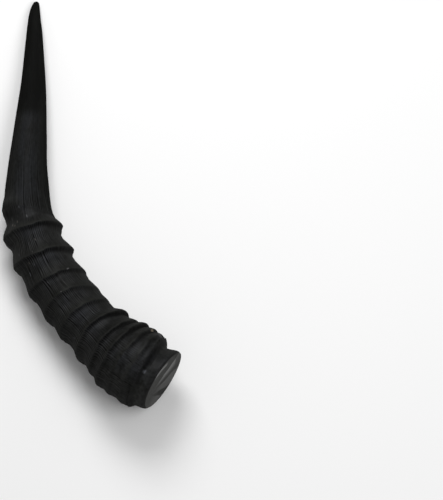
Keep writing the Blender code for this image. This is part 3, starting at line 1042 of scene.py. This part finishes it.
def sawn_horn(settings):
    """The cut face: grey, sanded, with marks that fan across it, partly painted as reflections, and a
    painted highlight on the bevel of its rim.
    """
    finish = Finish("Sawn horn")
    grain = finish.attribute("grain", "Vector")
    inner, top, _ = finish.axes(grain)
    scratches, patches = finish.noise(grain, SCRATCHES), finish.noise(grain, SANDED_PATCHES)

    across, along = top - FAN_START[1] * MM, inner - FAN_START[0] * MM
    fan = across.math("ARCTAN2", across, along) + (patches - 0.5) * FAN_WAVER
    from_start = across.math("SQRT", across * across + along * along)
    grey = FAN[0][1] - FACE_GREY
    for (start, low, _), (end, high, _) in zip(FAN, FAN[1:]):
        grey = grey + fan.step(math.radians(start), math.radians(end)) * (high - low)
    grey = grey * from_start.step(*FAN_PALES) + FACE_GREY
    shade = from_start.step(*RIM_SHADE) * fan.step(*RIM_SHADE_FROM) * RIM_SHADE_LOSS
    grey = grey * (1.0 - shade)

    # A painted highlight along the bevel on the rim.
    (first, near_radius), (last, far_radius) = RIM_HIGHLIGHT
    first, last = math.radians(first), math.radians(last)
    turn = top.math("ARCTAN2", top, inner)
    radius = top.math("SQRT", inner * inner + top * top)
    path = (turn - first) * ((far_radius - near_radius) * MM / (last - first)) + near_radius * MM
    off = top.math("ABSOLUTE", radius - path)
    outside, inside = STREAK_ENDS
    begun = turn.step(first - outside, first + inside)
    ended = turn.step(last - inside, last + outside)
    bevel_highlight = (1.0 - off.step(*STREAK_WIDTH)) * begun * (1.0 - ended)
    grey = grey + bevel_highlight * BEVEL_HIGHLIGHT_GREY + (scratches - 0.5) * SCRATCH_GREY
    share = (grey * (1.0 / PALEST_GREY)).clamped()
    finish.dress(
        Base_Color=finish.mix(share, tuple(settings.sawn), tuple(settings.sanded)),
        Roughness=0.6,
        Specular_IOR_Level=0.0,
        Normal=finish.bump(scratches, *SCRATCH_BUMP),
        Coat_Weight=0.15,
        Coat_Roughness=0.4,
    )
    return finish.material


def plain_finish(name, colour, roughness):
    """An even matt finish for the stage."""
    finish = Finish(name)
    finish.dress(Base_Color=tuple(colour), Roughness=roughness, Specular_IOR_Level=0.0)
    return finish.material


class HORN_OT_grow(bpy.types.Operator):
    """Grow the ringed horn in the place of the frame's horn"""

    bl_idname = "horn.grow"
    bl_label = "Grow horn"
    bl_options = {"REGISTER", "UNDO"}

    def execute(self, context):
        settings = context.scene.horn_settings
        mesh = grow_horn_mesh(settings)
        mesh.materials.append(keratin(settings))
        mesh.materials.append(sawn_horn(settings))
        horn = bpy.data.objects.new("horn_skin", mesh)
        context.scene.collection.objects.link(horn)
        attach(horn, "root")
        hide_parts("horn")
        return {"FINISHED"}


def add_area_light(context, name, target, direction, power):
    """A soft square light that faces a target. Its heading is counted from +X towards +Y."""
    heading, elevation = map(math.radians, direction)
    light = bpy.data.lights.new(name, "AREA")
    light.energy = power
    light.size = LIGHT_SIZE
    lamp = bpy.data.objects.new(name, light)
    level = math.cos(elevation)
    towards = Vector((math.cos(heading) * level, math.sin(heading) * level, math.sin(elevation)))
    lamp.location = target + towards * LIGHT_DISTANCE
    lamp.rotation_euler = (-towards).to_track_quat("-Z", "Y").to_euler()
    context.scene.collection.objects.link(lamp)


def add_camera(context, target, elevation, lens, distance):
    """A camera that looks at a target from the horn's lower end, steeply from above."""
    data = bpy.data.cameras.new("camera")
    data.lens = lens
    data.clip_end = VIEW_END
    camera = bpy.data.objects.new("camera", data)
    back = Vector((0, -math.cos(elevation), math.sin(elevation)))
    camera.location = target + back * distance
    camera.rotation_euler = (math.pi / 2 - elevation, 0, 0)
    context.scene.collection.objects.link(camera)
    context.scene.camera = camera


class HORN_OT_set_stage(bpy.types.Operator):
    """Lay the floor and set up the lights and the camera"""

    bl_idname = "horn.set_stage"
    bl_label = "Set stage"
    bl_options = {"REGISTER", "UNDO"}

    def execute(self, context):
        stage = context.scene.stage_settings
        low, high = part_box("horn")
        middle = (low + high) / 2

        bm = bmesh.new()
        bmesh.ops.create_grid(bm, size=FLOOR_HALF)
        mesh = bpy.data.meshes.new("floor")
        bm.to_mesh(mesh)
        bm.free()
        mesh.materials.append(plain_finish("Pale floor", stage.floor, 0.9))
        floor = bpy.data.objects.new("floor", mesh)
        context.scene.collection.objects.link(floor)

        add_area_light(context, "key", middle, KEY_FROM, stage.key_power)
        add_area_light(context, "fill", middle, FILL_FROM, stage.fill_power)

        world = bpy.data.worlds.new("studio")
        world.use_nodes = True
        sky = world.node_tree.nodes["Background"]
        sky.inputs["Color"].default_value = (1.0, 1.0, 1.0, 1.0)
        sky.inputs["Strength"].default_value = stage.sky
        context.scene.world = world
        context.scene.view_settings.view_transform = "Standard"

        add_camera(context, middle + Vector(stage.aim), stage.elevation, stage.lens, stage.distance)
        return {"FINISHED"}


class HORN_PT_panel(bpy.types.Panel):
    """Lists the steps and the values that can be changed"""

    bl_idname = "HORN_PT_panel"
    bl_label = "Ringed horn"
    bl_space_type = "VIEW_3D"
    bl_region_type = "UI"
    bl_category = "Horn"

    def draw(self, context):
        for operator, group in (
            (HORN_OT_grow, context.scene.horn_settings),
            (HORN_OT_set_stage, context.scene.stage_settings),
        ):
            box = self.layout.box()
            box.operator(operator.bl_idname)
            for name in group.__annotations__:
                box.prop(group, name)


CLASSES = (HornSettings, StageSettings, HORN_OT_grow, HORN_OT_set_stage, HORN_PT_panel)


def register():
    for cls in CLASSES:
        bpy.utils.register_class(cls)
    bpy.types.Scene.horn_settings = PointerProperty(type=HornSettings)
    bpy.types.Scene.stage_settings = PointerProperty(type=StageSettings)


def unregister():
    del bpy.types.Scene.stage_settings
    del bpy.types.Scene.horn_settings
    for cls in reversed(CLASSES):
        bpy.utils.unregister_class(cls)


def main():
    register()
    bpy.ops.horn.grow()
    bpy.ops.horn.set_stage()


if __name__ == "__main__":
    main()
